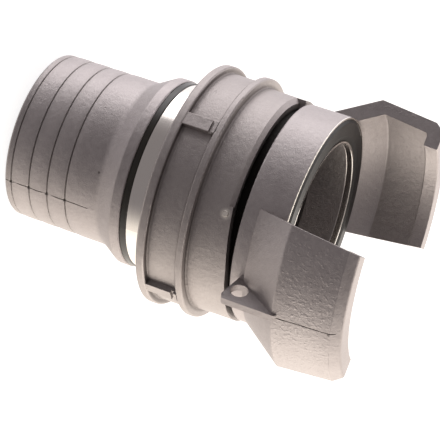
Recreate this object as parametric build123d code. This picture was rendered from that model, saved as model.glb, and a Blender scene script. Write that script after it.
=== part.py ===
from build123d import *
from math import atan, cos, radians, sin
import os

# Symmetrical quarter-turn claw coupling for a 100 mm hose, with its locking ring.
# It stands on the end of its hose tail: +Z runs along the bore towards the claws,
# the origin is the centre of the tail's end face, and the claws are centred on +X and -X.
# All lengths are in millimetres and all angles in degrees.

# ---------------------------------------------------------------- driving dimensions
# Hose tail: four shallow barbs with a fine groove between them, a smooth land, a flared collar
waterway_radius = 45.0
tail_wall = 5.1
tail_length = 60.5
tail_end_rounding = 1.2
tail_mouth_chamfer = 1.5
barb_count = 4
barb_pitch = 11.8
first_groove_height = 4.2
barb_dip = 0.35
groove_depth = 0.75
groove_half_width = 0.7
flare_length = 11.5
collar_height = 6.9
collar_length = 6.3
stop_ring_width = 3.9
stop_ring_depth = 3.7
stop_ring_stand = 0.5

# Neck: a turned length behind the locking ring, then the land that the ring turns on
neck_height = 5.7
neck_free_length = 14.4
land_height = 3.7
land_setback = 10.3

# Locking ring: two spanner flanges with four lugs between them, and a ramped skirt
skirt_wall = 7.15
recess_height = 1.8
ring_flange_height = 3.9
rear_flange_width = 5.2
recess_width = 18.9
front_flange_step = 0.2
front_flange_width = 4.4
skirt_length = 20.3
skirt_taper = 0.4
skirt_edge_bevel = 0.9
ramp_count = 2
ramp_rise = 3.3
ramp_foot_angle = -36.0
ramp_length_angle = 33.0
ramp_step_angle = 58.0
ramp_bevel = 2.8
lug_count = 4
lug_width = 8.0
lug_drop = 0.5
lug_first_angle = -68.0
lug_root = 1.5
lug_groove_width = 1.7
lug_groove_depth = 1.6
witness_angle = -32.0
witness_radius = 2.4
witness_height = 0.9
ring_rear_bore_clearance = 0.7
ring_rear_lip = 7.3

# Head: the front flange with the seal seat, and the throat that widens the bore
ring_gap = 5.8
shoulder_height = 5.7
flange_length = 25.6
seat_wall = 1.0
seal_width = 13.2
seat_depth = 9.0
lip_thickness = 1.3
throat_start_height = 96.0
throat_length = 28.0

# Claws: a raised root, a cone, a barrel and an inward hook, narrowing towards the tip
claw_count = 2
claw_half_angle = 39.5
claw_narrowing_angle = 6.2
claw_root_setback = 16.6
claw_root_height = 1.7
claw_cone_advance = 7.6
claw_rise = 18.0
claw_barrel_taper = 2.2
claw_wall = 7.6
claw_reach = 46.7
hook_thickness = 8.2
hook_tip_clearance = 0.8
hook_bevel_length = 5.6
hook_bevel_depth = 3.9

# Chain ear: a flat web on the parting plane of the claw on the +X side
ear_thickness = 4.0
ear_stand = 1.4
ear_hole_radius = 5.0
ear_hole_rise = 9.5
ear_hole_setback = 15.3
ear_overhang = 6.6
ear_foot_offset = 3.4
ear_corner_radius = 3.6

# Clearances
ring_running_clearance = 0.05
stop_ring_clearance = 0.05
seal_clearance = 0.05

# Edge rounding of the castings
casting_round = 1.0
fine_round = 0.4

# ---------------------------------------------------------------- radii from the bore outwards
tail_radius = waterway_radius + tail_wall
collar_radius = tail_radius + collar_height
neck_radius = tail_radius + neck_height
land_radius = neck_radius + land_height
ring_bore_radius = land_radius + ring_running_clearance
skirt_radius = ring_bore_radius + skirt_wall
recess_radius = skirt_radius + recess_height
ring_flange_radius = recess_radius + ring_flange_height
flange_radius = land_radius + shoulder_height
seat_outer_radius = flange_radius - seat_wall
seat_inner_radius = seat_outer_radius - seal_width
lip_radius = seat_inner_radius - lip_thickness
claw_radius = flange_radius + claw_rise
hook_tip_radius = flange_radius + hook_tip_clearance
ear_edge_radius = claw_radius + ear_stand

# ---------------------------------------------------------------- heights along the bore
collar_back = tail_length + flare_length
collar_front = collar_back + collar_length
neck_start = collar_front + stop_ring_width + 2 * stop_ring_clearance
ring_back = neck_start + neck_free_length
ring_recess_start = ring_back + rear_flange_width
ring_recess_end = ring_recess_start + recess_width
skirt_start = ring_recess_end + front_flange_width
ring_front = skirt_start + skirt_length
ramp_top = ring_front + ramp_rise
land_start = ring_back + land_setback
flange_back = ring_front + ring_gap
face_height = flange_back + flange_length
seat_floor = face_height - seat_depth
claw_root = face_height - claw_root_setback
cone_end = face_height + claw_cone_advance
claw_tip = face_height + claw_reach
hook_face = claw_tip - hook_thickness


def turned(section):
    """Spin a section drawn in the XZ plane once around the bore."""
    return revolve(section, Axis.Z, 360)


def rounded(section, corners, radius):
    """Round the corners of a section that lie at the given (radius, height) places."""
    points = [section.vertices().sort_by_distance((r, 0, z))[0] for r, z in corners]
    return fillet(points, radius)


def section_face(*points):
    """A closed section in the XZ plane from (radius, height) points."""
    return Plane.XZ * make_face(Polyline(*points, close=True))


def sector(inner, outer, bottom, top, start, angle):
    """A block of a ring between two radii and two heights, over part of a turn."""
    block = revolve(section_face((inner, bottom), (outer, bottom), (outer, top), (inner, top)),
                    Axis.Z, angle)
    return Rot(0, 0, start) * block


# ---------------------------------------------------------------- coupling body
def barb_line():
    """The outside of the hose tail from the smooth land down to the first groove."""
    dip_radius = tail_radius - barb_dip
    heights = [first_groove_height + i * barb_pitch for i in range(barb_count)]
    runs = [Line((tail_radius, tail_length), (tail_radius, heights[-1] + barb_pitch / 2)),
            ThreePointArc((tail_radius, heights[-1] + barb_pitch / 2),
                          (tail_radius - 0.2 * barb_dip, heights[-1] + barb_pitch / 4),
                          (dip_radius, heights[-1]))]
    for low, high in zip(heights[-2::-1], heights[:0:-1]):
        middle = (tail_radius - 0.2 * barb_dip, (low + high) / 2)
        runs.append(ThreePointArc((dip_radius, high), middle, (dip_radius, low)))
    return runs, heights


def body_section():
    """Half section of the tail, collar, neck and head, all turned about the bore."""
    barbs, groove_heights = barb_line()
    dip_radius = tail_radius - barb_dip
    stop_seat = neck_radius - stop_ring_depth
    outside = Polyline(
        (dip_radius, groove_heights[0]),
        (dip_radius, 0),
        (waterway_radius + tail_mouth_chamfer, 0),
        (waterway_radius, tail_mouth_chamfer),
        (waterway_radius, throat_start_height),
        (lip_radius, throat_start_height + throat_length),
        (lip_radius, face_height),
        (seat_inner_radius, face_height),
        (seat_inner_radius, seat_floor),
        (seat_outer_radius, seat_floor),
        (seat_outer_radius, face_height),
        (flange_radius, face_height),
        (flange_radius, flange_back),
        (land_radius, flange_back),
        (land_radius, land_start),
        (neck_radius, land_start),
        (neck_radius, neck_start),
        (stop_seat, neck_start),
        (stop_seat, collar_front),
        (collar_radius, collar_front),
        (collar_radius, collar_back),
        (tail_radius, tail_length),
    )
    section = Plane.XZ * make_face(Curve() + [*barbs, outside])
    section = rounded(section, [(dip_radius, 0)], tail_end_rounding)
    section = rounded(section, [(tail_radius, tail_length)], 0.6 * flare_length)
    section = rounded(section, [(collar_radius, collar_back)], 2 * casting_round)
    section = rounded(section, [(collar_radius, collar_front), (flange_radius, flange_back)],
                      casting_round)
    section = rounded(section, [(flange_radius, face_height), (lip_radius, face_height)], fine_round)
    section = rounded(section, [(land_radius, land_start), (neck_radius, land_start)], casting_round)
    return section


def hose_grooves():
    """Fine V grooves at the dips between the barbs."""
    grooves = []
    bottom = tail_radius - barb_dip - groove_depth
    for i in range(barb_count):
        height = first_groove_height + i * barb_pitch
        vee = section_face((bottom, height), (tail_radius, height + groove_half_width),
                           (tail_radius, height - groove_half_width))
        grooves.append(turned(vee))
    return grooves


def claw_section():
    """Section of one claw through its middle, from its root on the flange to the hook."""
    buried = (seat_outer_radius + flange_radius) / 2
    root_radius = flange_radius + claw_root_height
    barrel_end = claw_tip - hook_bevel_length
    bevel_radius = claw_radius - claw_barrel_taper
    crown_radius = bevel_radius - hook_bevel_depth
    inner_front = bevel_radius - claw_wall
    inner_back = claw_radius - claw_wall
    inner_cone_end = cone_end + 0.55 * claw_wall
    cone_slope = (claw_radius - root_radius) / (cone_end - claw_root)
    inner_foot = inner_cone_end - (inner_back - flange_radius) / cone_slope
    section = section_face(
        (buried, claw_root),
        (root_radius, claw_root),
        (claw_radius, cone_end),
        (bevel_radius, barrel_end),
        (crown_radius, claw_tip),
        (hook_tip_radius, claw_tip),
        (hook_tip_radius, hook_face),
        (inner_front, hook_face),
        (inner_back, inner_cone_end),
        (flange_radius, inner_foot),
        (buried, inner_foot),
    )
    section = rounded(section, [(claw_radius, cone_end), (crown_radius, claw_tip)], 2.0 * casting_round)
    section = rounded(section, [(inner_back, inner_cone_end), (inner_front, hook_face)],
                      1.5 * casting_round)
    section = rounded(section, [(bevel_radius, barrel_end), (hook_tip_radius, claw_tip),
                                (hook_tip_radius, hook_face), (root_radius, claw_root)],
                      0.6 * casting_round)
    return section


def claw():
    """One claw centred on +X, its flanks radial at the root and closing in towards the tip."""
    sweep = 2 * claw_half_angle
    solid = Rot(0, 0, -claw_half_angle) * revolve(claw_section(), Axis.Z, sweep)
    for side in (1, -1):
        edge = Vector(1, 0, 0).rotate(Axis.Z, side * claw_half_angle)
        lean = radians(claw_narrowing_angle)
        flank_normal = Vector(0, side * cos(lean), sin(lean)).rotate(Axis.Z, side * claw_half_angle)
        flank = Plane(origin=(0, 0, claw_root), x_dir=edge, z_dir=flank_normal)
        solid = split(solid, bisect_by=flank, keep=Keep.BOTTOM)
    return solid


def chain_ear():
    """Flat web with a hole, between the flange, the claw's cone and its outer radius."""
    tail_tip = claw_root - ear_overhang
    foot = claw_root - ear_foot_offset
    buried = (seat_outer_radius + flange_radius) / 2
    outline = section_face(
        (buried, foot),
        (ear_edge_radius - ear_corner_radius, tail_tip),
        (ear_edge_radius, tail_tip + 1.6),
        (ear_edge_radius, cone_end + 1.5),
        (claw_radius - 1.0, cone_end + 4.0),
        (claw_radius - 0.5 * claw_wall, cone_end),
        (buried, claw_root + 2.0),
    )
    outline = rounded(outline, [(ear_edge_radius, tail_tip + 1.6),
                                (ear_edge_radius - ear_corner_radius, tail_tip)], 1.5)
    plate = Pos(0, ear_thickness / 2, 0) * extrude(outline, ear_thickness)
    hole = Pos(flange_radius + ear_hole_rise, 0, face_height - ear_hole_setback) * (
        Rot(90, 0, 0) * Cylinder(ear_hole_radius, 2 * ear_thickness))
    return plate, hole


def coupling_body():
    """The single casting: hose tail, collar, neck, head, claws and chain ear."""
    body = turned(body_section()) - hose_grooves()
    body += PolarLocations(0, claw_count) * claw()
    plate, hole = chain_ear()
    return body + plate - hole


# ---------------------------------------------------------------- locking ring
def ring_section():
    """Half section of the locking ring with its skirt at full ramp height."""
    front_flange_radius = ring_flange_radius - front_flange_step
    rear_bore = collar_radius + ring_rear_bore_clearance
    skirt_front_radius = skirt_radius - skirt_taper
    section = section_face(
        (rear_bore, ring_back),
        (ring_flange_radius, ring_back),
        (ring_flange_radius, ring_recess_start),
        (recess_radius, ring_recess_start),
        (recess_radius, ring_recess_end),
        (front_flange_radius, ring_recess_end),
        (front_flange_radius, skirt_start),
        (skirt_radius, skirt_start),
        (skirt_front_radius, ring_front - 2 * skirt_edge_bevel),
        (skirt_front_radius, ramp_top),
        (ring_bore_radius, ramp_top),
        (ring_bore_radius, ring_back + ring_rear_lip),
        (rear_bore, ring_back + ring_rear_lip),
    )
    outer = [(ring_flange_radius, ring_back), (ring_flange_radius, ring_recess_start),
             (front_flange_radius, ring_recess_end), (front_flange_radius, skirt_start)]
    inner = [(recess_radius, ring_recess_start), (recess_radius, ring_recess_end),
             (skirt_radius, skirt_start)]
    section = rounded(section, outer, casting_round)
    return rounded(section, inner, casting_round)


def ramp_cutter():
    """What is cut from the skirt's front so that it rises along one ramp and steps down again."""
    low_start = ramp_step_angle - 180
    above = ramp_top + casting_round
    radii = (ring_bore_radius - casting_round, skirt_radius + casting_round)
    low_sweep = ramp_foot_angle - low_start
    low = sector(*radii, ring_front, above, low_start, low_sweep)
    bevel = section_face((skirt_radius - ramp_bevel, above), (skirt_radius - ramp_bevel, ring_front),
                         (radii[1], ring_front - ramp_bevel - casting_round), (radii[1], above))
    low += Rot(0, 0, low_start) * revolve(bevel, Axis.Z, low_sweep)
    mean_radius = (ring_bore_radius + skirt_radius) / 2
    ramp_run = mean_radius * sin(radians(ramp_length_angle))
    slope = atan(ramp_rise / ramp_run)
    foot = Vector(1, 0, 0).rotate(Axis.Z, ramp_foot_angle)
    rise_normal = Vector(0, -sin(slope), cos(slope)).rotate(Axis.Z, ramp_foot_angle)
    ramp_face = Plane(origin=(0, 0, ring_front), x_dir=foot, z_dir=rise_normal)
    rise = sector(*radii, ring_front - casting_round, above, ramp_foot_angle, ramp_length_angle * 1.4)
    return low + split(rise, bisect_by=ramp_face, keep=Keep.TOP)


def spanner_lug():
    """One rectangular lug across the recess, with a slot where it meets the front flange."""
    length = recess_width + rear_flange_width / 2
    height = ring_flange_height - lug_drop + lug_root
    lug = Pos(recess_radius - lug_root, 0, ring_recess_start - rear_flange_width / 2) * Box(
        height, lug_width, length, align=(Align.MIN, Align.CENTER, Align.MIN))
    lug = fillet(lug.edges().filter_by(Axis.Z).sort_by(Axis.X)[-2:], fine_round)
    slot_place = Pos(recess_radius - lug_root + height, 0, ring_recess_end - 1.5 * lug_groove_width)
    slot = slot_place * Box(2 * lug_groove_depth, 2 * lug_width, lug_groove_width)
    return Rot(0, 0, lug_first_angle) * (lug - slot)


def locking_ring():
    """The ring that turns on the land and nips the mating claws with its ramps."""
    ring = turned(ring_section()) - PolarLocations(0, ramp_count) * ramp_cutter()
    ring += PolarLocations(0, lug_count) * spanner_lug()
    knob = Rot(0, 90, 0) * Cone(witness_radius, 0.6 * witness_radius, 2 * witness_height)
    place = Pos(skirt_radius - skirt_taper, 0, ring_front - 1.3 * witness_radius)
    return ring + Rot(0, 0, witness_angle) * (place * knob)


# ---------------------------------------------------------------- rubber rings
def stop_ring():
    """Rubber ring seated in the groove between the collar and the neck."""
    inner = neck_radius - stop_ring_depth + stop_ring_clearance
    outer = neck_radius + stop_ring_stand
    bottom = collar_front + stop_ring_clearance
    top = bottom + stop_ring_width
    section = section_face((inner, bottom), (outer, bottom), (outer, top), (inner, top))
    return turned(rounded(section, [(outer, bottom), (outer, top)], fine_round))


def front_seal():
    """Face seal in its seat, with a raised bead and a lip that leans over the bore."""
    inner = seat_inner_radius + seal_clearance
    outer = seat_outer_radius - seal_clearance
    bead = face_height + 0.8
    section = section_face(
        (inner, seat_floor), (outer, seat_floor), (outer, face_height - 0.6),
        (outer - 2.2, bead), (inner + 3.4, bead), (inner, face_height - 0.9))
    return turned(rounded(section, [(outer - 2.2, bead), (inner + 3.4, bead)], casting_round))


# ---------------------------------------------------------------- write the nodes
nodes = {
    "coupling_body": coupling_body(),
    "locking_ring": locking_ring(),
    "stop_ring": stop_ring(),
    "front_seal": front_seal(),
}
os.makedirs("parts", exist_ok=True)
for name, shape in nodes.items():
    export_step(shape, f"parts/{name}.step")
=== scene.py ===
from math import cos, radians, sin

import bpy
from mathutils import Matrix, Vector


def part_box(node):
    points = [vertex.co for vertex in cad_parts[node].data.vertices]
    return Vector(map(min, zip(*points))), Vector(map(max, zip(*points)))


# Symmetrical quarter turn claw coupling of blasted cast steel, standing on its hose tail.
# +Z runs along the bore to the claws, +X through the claw with the chain ear; units are metres.
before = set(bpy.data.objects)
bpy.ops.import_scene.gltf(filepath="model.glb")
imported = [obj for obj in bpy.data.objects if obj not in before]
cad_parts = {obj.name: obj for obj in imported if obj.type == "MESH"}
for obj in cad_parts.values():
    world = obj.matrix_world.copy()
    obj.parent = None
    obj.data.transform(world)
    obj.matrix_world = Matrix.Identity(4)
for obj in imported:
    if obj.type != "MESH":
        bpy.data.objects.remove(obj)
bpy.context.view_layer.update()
scene = bpy.context.scene


# ------------------------------------------------------------------ coupling body
# One blasted steel casting with its hose tail, neck, flange and claws. Its neck and lips are
# turned bright, and the parting line of the mould runs along the tail and the near claw.
class Value:
    """A shader socket that adds and multiplies like a number."""

    def __init__(self, wiring, socket):
        self.wiring = wiring
        self.socket = socket

    def maths(self, operation, *operands):
        return self.wiring.node("ShaderNodeMath", {"operation": operation}, dict(enumerate(operands)))

    def __add__(self, other):
        return self.maths("ADD", self, other)

    def __sub__(self, other):
        return self.maths("SUBTRACT", self, other)

    def __rsub__(self, other):
        return self.maths("SUBTRACT", other, self)

    def __mul__(self, other):
        return self.maths("MULTIPLY", self, other)

    def size(self):
        return self.maths("ABSOLUTE", self)

    def root(self):
        return self.maths("SQRT", self)

    def angle_from(self, other):
        return self.maths("ARCTAN2", self, other)

    def least(self, other):
        return self.maths("MINIMUM", self, other)

    def most(self, other):
        return self.maths("MAXIMUM", self, other)

    def ease(self, low, high):
        """0 at low and 1 at high, with a smooth change between; low may be the greater."""
        return self.wiring.node("ShaderNodeMapRange", {"interpolation_type": "SMOOTHSTEP"},
                                {"Value": self, "From Min": low, "From Max": high}, "Result")

    def band(self, low, high, soft):
        """1 between low and high, fading to 0 over soft at both ends."""
        return self.ease(low - soft, low) * self.ease(high + soft, high)


class Wiring:
    """The nodes of a material or of the world."""

    def __init__(self, tree):
        self.tree = tree

    def set(self, socket, value):
        if isinstance(value, Value):
            self.tree.links.new(value.socket, socket)
        else:
            socket.default_value = value

    def node(self, kind, settings, sockets, output=0):
        """Adds a node: its settings first, then what goes into its sockets; gives one output."""
        made = self.tree.nodes.new(kind)
        for name, value in settings.items():
            setattr(made, name, value)
        for place, value in sockets.items():
            self.set(made.inputs[place], value)
        return Value(self, made.outputs[output])


class Finish(Wiring):
    """A material with a Principled shader, and the object's own coordinates to work from."""

    def __init__(self, name):
        self.material = bpy.data.materials.new(name)
        self.material.use_nodes = True
        super().__init__(self.material.node_tree)
        self.shader = self.tree.nodes["Principled BSDF"]
        self.place = self.node("ShaderNodeTexCoord", {}, {}, "Object")
        self.x, self.y, self.z = (
            self.node("ShaderNodeSeparateXYZ", {}, {0: self.place}, axis) for axis in "XYZ")
        self.radius = (self.x * self.x + self.y * self.y).root()
        self.angle = self.y.angle_from(self.x)

    def noise(self, scale, detail=3.0, rough=0.5, place=None):
        return self.node("ShaderNodeTexNoise", {}, {
            "Scale": scale, "Detail": detail, "Roughness": rough, "Vector": place or self.place}, "Fac")

    def point(self, x, y, z):
        return self.node("ShaderNodeCombineXYZ", {}, {0: x, 1: y, 2: z})

    def spot(self, x, y, z, radius):
        """1 at a place on the surface, falling to 0 at the given radius."""
        across, deep, up = self.x - x, self.y - y, self.z - z
        return (across * across + deep * deep + up * up).root().ease(radius, 0.3 * radius)

    def blend(self, amount, first, second):
        """From the first colour to the second, by an amount from 0 to 1."""
        factor, first_color, second_color, color_out = 0, 6, 7, 2
        return self.node("ShaderNodeMix", {"data_type": "RGBA"},
                         {factor: amount, first_color: first, second_color: second}, color_out)

    def wear(self, color, rough, metal):
        self.set(self.shader.inputs["Base Color"], color)
        self.set(self.shader.inputs["Roughness"], rough)
        self.set(self.shader.inputs["Metallic"], metal)

    def relief(self, height, depth):
        bump = {"Strength": 1.0, "Distance": depth, "Height": height}
        self.set(self.shader.inputs["Normal"], self.node("ShaderNodeBump", {}, bump, "Normal"))


def paint(red, green, blue):
    return (red, green, blue, 1.0)


def put(node_name, finish):
    """The finish becomes the only material of a CAD node."""
    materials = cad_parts[node_name].data.materials
    materials.clear()
    materials.append(finish.material)


def cast_steel(name, light, dark, blotch_scale):
    """Warm grey, fine-grained castings with slow blotches of tone and a few small pits."""
    finish = Finish(name)
    blotch = finish.noise(blotch_scale, 4.0, 0.6)
    mottle = finish.noise(320.0, 3.0, 0.6)
    grain = finish.noise(1900.0, 2.0, 0.6)
    tone = blotch.ease(0.25, 0.75) * 0.40 + mottle.ease(0.25, 0.75) * 0.35 + grain.ease(0.30, 0.70) * 0.25
    color = finish.blend(tone, dark, light)
    cells = finish.node("ShaderNodeTexVoronoi", {}, {"Scale": 95.0, "Vector": finish.place}, "Distance")
    pits = cells.ease(0.085, 0.03) * finish.noise(28.0).ease(0.56, 0.62)
    rough = mottle * 0.18 + 0.42
    height = grain * 0.5 + mottle * 0.9 - pits * 1.8
    return finish, color, rough, height, pits


body, body_color, body_rough, body_height, body_pits = cast_steel(
    "blasted_cast_body", paint(0.52, 0.485, 0.478), paint(0.37, 0.338, 0.335), 26.0)

# the parting line wanders a little, breaks off here and there, and inks a dot at each barb groove
tail_line_end = 0.0535
claw_line_start, claw_line_end = 0.187, 0.222
facing_ear = body.x.ease(0.0, 0.004)
wander = (body.noise(60.0) - 0.5) * 0.0016
line_gap = (body.y + wander).size()
on_tail = body.z.band(0.0, tail_line_end, 0.002)
on_claw = body.z.band(claw_line_start, claw_line_end, 0.002) * body.radius.ease(0.079, 0.0795)
broken = body.noise(150.0, 2.0).ease(0.30, 0.46)
parting = line_gap.ease(0.00045, 0.00012) * facing_ear * on_tail.most(on_claw) * broken

first_groove, groove_pitch, groove_radius = 0.0042, 0.0118, 0.0496
ink = parting
for groove in range(4):
    ink = ink.most(body.spot(groove_radius, 0.0, first_groove + groove_pitch * groove, 0.0016))
flaws = body_pits
for flaw in ((0.0444, -0.0234, 0.0585, 0.0011), (0.0812, 0.0060, 0.2000, 0.0013),
             (0.0812, 0.0010, 0.2170, 0.0012)):
    flaws = flaws.most(body.spot(*flaw))
body_color = body.blend(ink.least(1.0), body_color, paint(0.05, 0.042, 0.038))
body_color = body.blend(flaws * 0.75, body_color, paint(0.10, 0.09, 0.085))

# the neck behind the ring, the lip of the bore and the rim round the seal are turned
face_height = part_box("front_seal")[1][2] - 0.0008
neck_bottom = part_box("stop_ring")[1][2]
neck_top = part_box("locking_ring")[0][2] + 0.010
lip_radius = 0.0512
neck = body.z.band(neck_bottom, neck_top, 0.0002) * body.radius.ease(0.0540, 0.0545)
lip = body.z.ease(face_height - 0.004, face_height - 0.0035) * body.radius.ease(lip_radius, lip_radius - 0.0002)
rim = body.z.ease(face_height - 0.0007, face_height - 0.0004) * body.radius.band(0.0640, 0.0655, 0.0001)
turned = neck.most(lip).most(rim).least(1.0)
turning_marks = body.noise(1.0, 2.0, 0.5, body.point(body.angle * 1.5, 0.0, body.z * 2400.0))
body_color = body.blend(turned, body_color, paint(0.80, 0.765, 0.72))
body_rough = body_rough * (1.0 - turned) + turned * (turning_marks * 0.12 + 0.10)

# the claws' backs are wrinkled as cast, and the turned faces carry only the tool's marks
wrinkle = body.noise(520.0, 2.0, 0.4).ease(0.50, 0.72) * body.radius.ease(0.078, 0.080)
body_height = body_height + wrinkle * body.z.band(0.186, 0.2165, 0.002) * 0.45
body_height = body_height * (1.0 - turned * 0.97) + turned * turning_marks * 0.10
body_height = body_height - ink * 1.2

# painted shade: the gap in front of the locking ring is painted near black for the deep shadow there, and the bore
# is painted a little darker for its shade
ring_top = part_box("locking_ring")[1][2]
painted_gap_shade = body.z.band(ring_top - 0.012, ring_top + 0.0030, 0.0002) * body.radius.ease(0.0612, 0.0608)
body_color = body.blend(painted_gap_shade, body_color, paint(0.012, 0.011, 0.010))
# painted shade: the inside of the bore is painted a little darker
painted_bore_shade = body.radius.ease(0.0500, 0.0496) * body.z.ease(face_height, face_height - 0.002)
body_color = body.blend(painted_bore_shade * 0.35, body_color, paint(0.30, 0.285, 0.27))
body.wear(body_color, body_rough, 1.0)
body.relief(body_height, 0.00030)
put("coupling_body", body)

# ------------------------------------------------------------------ locking ring
# A second casting of the same steel, a shade darker, that turns on the body. It has fine scratches
# round its skirt, painted shade in its recess corners, at the flange foot and by the gap, and a bright nub.
ring, ring_color, ring_rough, ring_height = cast_steel(
    "blasted_cast_ring", paint(0.50, 0.465, 0.452), paint(0.35, 0.320, 0.312), 24.0)[:4]
recess_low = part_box("locking_ring")[0][2] + 0.0052
recess_high = recess_low + 0.0189
front_flange_width = 0.0046
# painted shade: the corners of the recess between the flanges and the foot of the front flange are painted darker
corner = (ring.z - recess_low).size().least((ring.z - recess_high).size())
painted_recess_shade = corner.ease(0.0022, 0.0002) * ring.radius.ease(0.0722, 0.0700) * ring.z.band(recess_low, recess_high, 0.001)
foot_gap = (ring.z - (recess_high + front_flange_width)).size()
painted_flange_foot_shade = foot_gap.ease(0.0016, 0.0001) * ring.radius.ease(0.0695, 0.0675)
scratch = ring.noise(1.0, 2.0, 0.7, ring.point(ring.angle * 3.0, 0.0, ring.z * 1600.0)).ease(0.60, 0.70)
scratch = scratch * ring.noise(40.0).ease(0.52, 0.60)
ring_color = ring.blend(painted_recess_shade.most(painted_flange_foot_shade) * 0.55, ring_color, paint(0.09, 0.075, 0.07))
ring_color = ring.blend(scratch * 0.25, ring_color, paint(0.78, 0.75, 0.72))
# painted shade: the ring's inner edge beside the dark gap is painted near black
ring_color = ring.blend(ring.radius.ease(0.0618, 0.0598), ring_color, paint(0.10, 0.095, 0.09))

nub_angle, nub_reach, nub_drop = radians(-32.0), 0.0672, 0.0064
nub = ring.spot(nub_reach * cos(nub_angle), nub_reach * sin(nub_angle), ring_top - nub_drop, 0.0042)
ring_color = ring.blend(nub, ring_color, paint(0.82, 0.78, 0.72))
ring.wear(ring_color, ring_rough - scratch * 0.08, 1.0)
ring.relief(ring_height - scratch * 0.2, 0.00030)
put("locking_ring", ring)


# ------------------------------------------------------------------ rubber rings
# The stop ring is glossy black rubber with an olive cast; the face seal is satin black,
# moulded, with fine concentric marks and a dusting of grey on its raised bead.
def rubber(name, base, dust, shine):
    finish = Finish(name)
    cloud = finish.noise(70.0, 4.0, 0.6)
    marks = finish.noise(1.0, 2.0, 0.5, finish.point(finish.radius * 1500.0, 0.0, finish.z * 1500.0))
    finish.wear(finish.blend(cloud.ease(0.45, 0.75) * 0.6, base, dust), cloud * 0.18 + shine, 0.0)
    finish.shader.inputs["Specular IOR Level"].default_value = 0.55
    finish.relief(marks * 0.5 + finish.noise(900.0) * 0.5, 0.00006)
    return finish


put("stop_ring", rubber("stop_ring_rubber", paint(0.012, 0.010, 0.005), paint(0.030, 0.026, 0.014), 0.22))
put("front_seal", rubber("face_seal_rubber", paint(0.006, 0.006, 0.006), paint(0.016, 0.016, 0.016), 0.34))

view_azimuth = radians(49.0)
view_elevation = radians(17.47)
view_distance = 1.0827
view_target = Vector((0.0095, 0.0110, 0.1199))
view_roll = radians(109.0)

back = Vector((sin(view_azimuth) * cos(view_elevation),
               -cos(view_azimuth) * cos(view_elevation), sin(view_elevation)))
camera_data = bpy.data.cameras.new("camera")
camera_data.sensor_width = 36.0
camera_data.lens = 153.0
camera_data.clip_end = 20.0
camera = bpy.data.objects.new("camera", camera_data)
scene.collection.objects.link(camera)
turn = back.to_track_quat("Z", "Y").to_matrix().to_4x4() @ Matrix.Rotation(view_roll, 4, "Z")
camera.matrix_world = Matrix.Translation(view_target + back * view_distance) @ turn
scene.camera = camera

# ------------------------------------------------------------------ floor
# A plain pale table under the tail. The camera sees it near white with the coupling's shadow,
# and it throws no light back onto the metal.
bpy.ops.mesh.primitive_plane_add(size=30.0, location=(0, 0, 0))
floor = bpy.context.active_object
floor.name = "floor"
table = Finish("floor_white")
table.shader.inputs["Base Color"].default_value = paint(0.55, 0.54, 0.53)
table.shader.inputs["Roughness"].default_value = 0.9
table.shader.inputs["Specular IOR Level"].default_value = 0.0
table_glow = table.node("ShaderNodeEmission", {}, {"Strength": 0.80})
table_seen = table.node("ShaderNodeAddShader", {}, {0: Value(table, table.shader.outputs[0]), 1: table_glow})
table_surface = table.node("ShaderNodeMixShader", {}, {
    0: table.node("ShaderNodeLightPath", {}, {}, "Is Camera Ray"),
    1: table.node("ShaderNodeBsdfTransparent", {}, {}), 2: table_seen})
table.set(table.tree.nodes["Material Output"].inputs["Surface"], table_surface)
floor.data.materials.append(table.material)

# ------------------------------------------------------------------ studio
# The backdrop behind the coupling is bright, lilac above and warm below, and the viewer's side
# is dim, which gives blasted metal its dark middle and light edges. Two softboxes help.
world = bpy.data.worlds.new("studio")
scene.world = world
world.use_nodes = True
sky = Wiring(world.node_tree)
direction = sky.node("ShaderNodeTexCoord", {}, {}, "Generated")
picture_up = (camera.matrix_world.to_3x3() @ Vector((0, 1, 0))).normalized()


def along(axis):
    """How far a direction of the surroundings points along an axis, from -1 to 1."""
    return sky.node("ShaderNodeVectorMath", {"operation": "DOT_PRODUCT"}, {0: direction, 1: axis}, "Value")


behind = along(back).ease(0.55, -0.35)
upper = along(picture_up).ease(-0.5, 0.5)
tailward = along((0.0, 0.0, -1.0)).ease(0.15, 0.85)
levels = {}
for channel, dim, top, bottom in (
        ("Red", 0.25, 1.14, 1.80), ("Green", 0.23, 1.10, 1.66), ("Blue", 0.235, 1.13, 1.48)):
    levels[channel] = behind * (upper * (top - bottom) + bottom) * (1.0 - tailward * 0.50) + dim
tint = sky.node("ShaderNodeCombineColor", {}, levels)
lit = sky.node("ShaderNodeBackground", {}, {"Color": tint, "Strength": 1.0})
white = sky.node("ShaderNodeBackground", {}, {"Color": paint(1.0, 1.0, 1.0), "Strength": 1.0})
seen = sky.node("ShaderNodeMixShader", {}, {
    0: sky.node("ShaderNodeLightPath", {}, {}, "Is Camera Ray"), 1: lit, 2: white})
sky.set(sky.tree.nodes["World Output"].inputs["Surface"], seen)


def softbox(name, offset, power, color):
    """A square area light that points at the coupling from an offset in metres."""
    data = bpy.data.lights.new(name, "AREA")
    data.size = 0.8
    data.energy = power
    data.color = color
    lamp = bpy.data.objects.new(name, data)
    scene.collection.objects.link(lamp)
    aim = Vector((0, 0, 0.11))
    lamp.matrix_world = Matrix.Translation(aim + offset) @ offset.to_track_quat("Z", "Y").to_matrix().to_4x4()


softbox("top_softbox", picture_up - back * 0.10, 3.0, (1.0, 0.97, 0.98))
softbox("low_bounce", picture_up * -0.9 - back * 0.30, 1.5, (1.0, 0.93, 0.84))
scene.view_settings.view_transform = "Standard"
